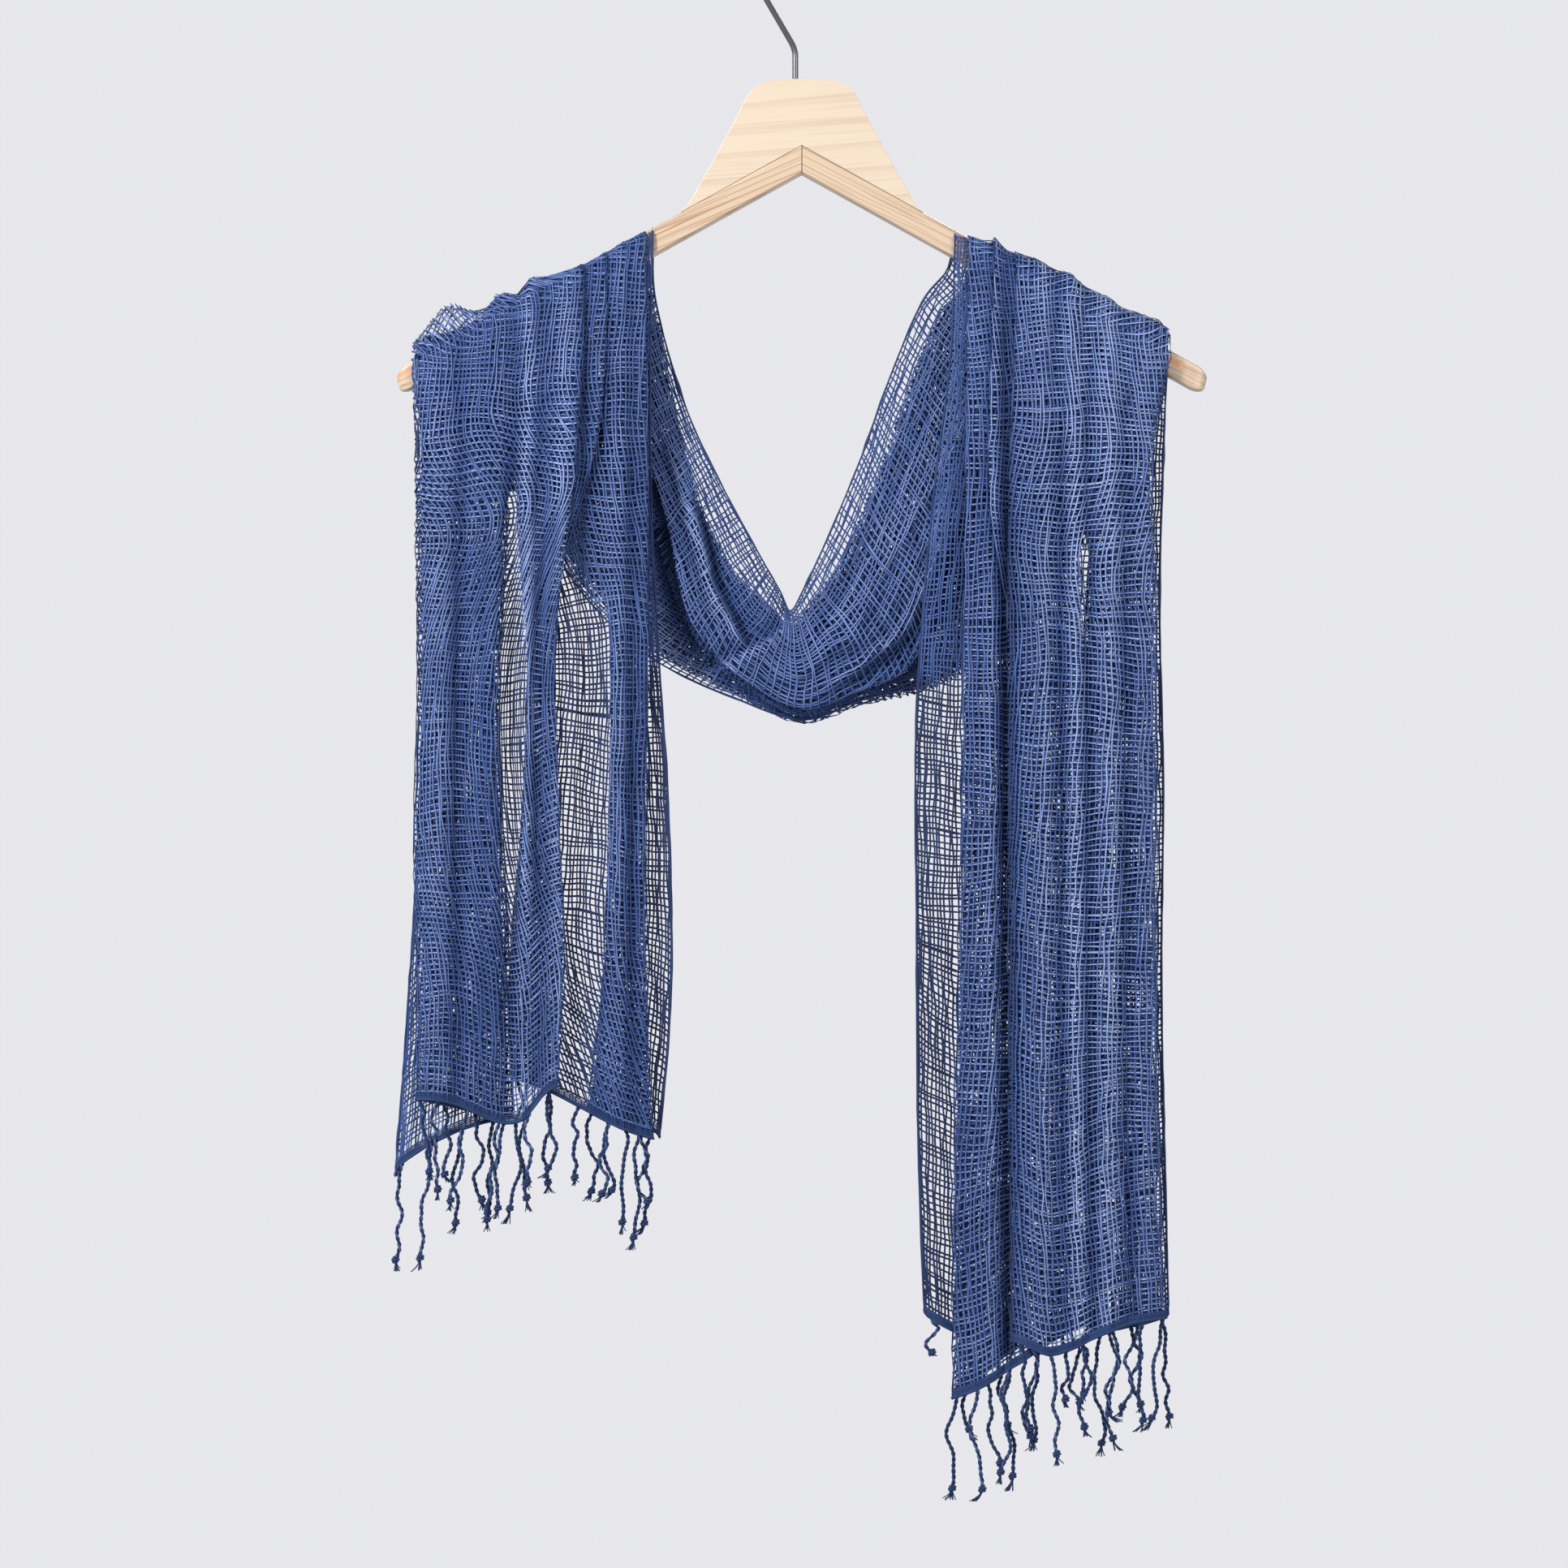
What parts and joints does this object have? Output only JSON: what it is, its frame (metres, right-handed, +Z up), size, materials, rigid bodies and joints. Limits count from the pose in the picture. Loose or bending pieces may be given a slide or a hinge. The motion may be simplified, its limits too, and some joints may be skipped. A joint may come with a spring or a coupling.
{
  "type": "silk scarf and clothes hanger",
  "caption": "Long open-weave silk scarf with twisted fringe, folded lengthwise and hung over a flat wooden hanger with a wire hook.",
  "frame": {"origin": "inside of the hook's crest, where a rail carries the hanger", "axes": "+X to the right as seen from the front, +Y to the back, +Z up; the front faces -Y"},
  "size_m": [0.4456, 0.0568, 0.8586],
  "materials": {
    "silk_gauze": "indigo open gauze of slubby silk yarn, soft sheen",
    "pine": "pale, clear satin lacquer",
    "steel_wire": "plain drawn wire"
  },
  "bodies": {
    "root": {"scarf_left_tail": "silk_gauze", "scarf_right_tail": "silk_gauze", "scarf_left_back": "silk_gauze", "scarf_right_back": "silk_gauze", "scarf_swag": "silk_gauze", "fringe_left": "silk_gauze", "fringe_right": "silk_gauze", "hanger_yoke": "pine", "hanger_left_arm": "pine", "hanger_right_arm": "pine", "hook": "steel_wire"}
  },
  "joints": []
}
